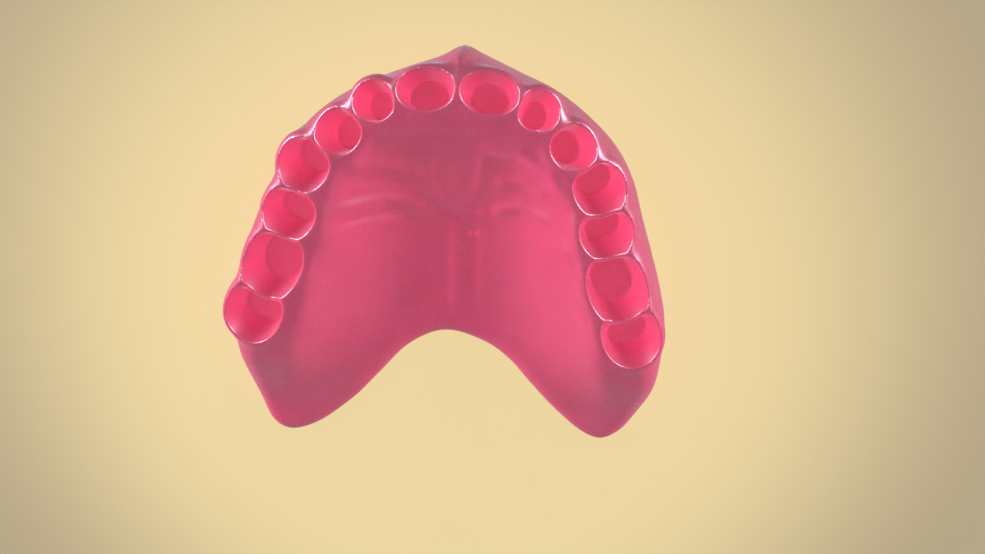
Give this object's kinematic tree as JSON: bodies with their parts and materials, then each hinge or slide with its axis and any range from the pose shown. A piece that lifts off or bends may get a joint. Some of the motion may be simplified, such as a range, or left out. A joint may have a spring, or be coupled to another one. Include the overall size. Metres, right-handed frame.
{
  "type": "denture base",
  "caption": "Pink acrylic base for a full upper denture: palate plate with rugae, thin outer flange, and a row of empty tooth sockets along the ridge; hollow on the gum side.",
  "frame": {"origin": "middle of the outline at the level of the flange border, which the part rests on", "axes": "+Z out of the mouth's roof through the socket mouths, +Y to the lips, +X across the arch towards the right-hand cheek as seen in the picture"},
  "size_m": [0.0638, 0.0612, 0.0142],
  "materials": {
    "pink_acrylic": "polished, slightly translucent"
  },
  "bodies": {
    "root": {"denture_base": "pink_acrylic"}
  },
  "joints": []
}
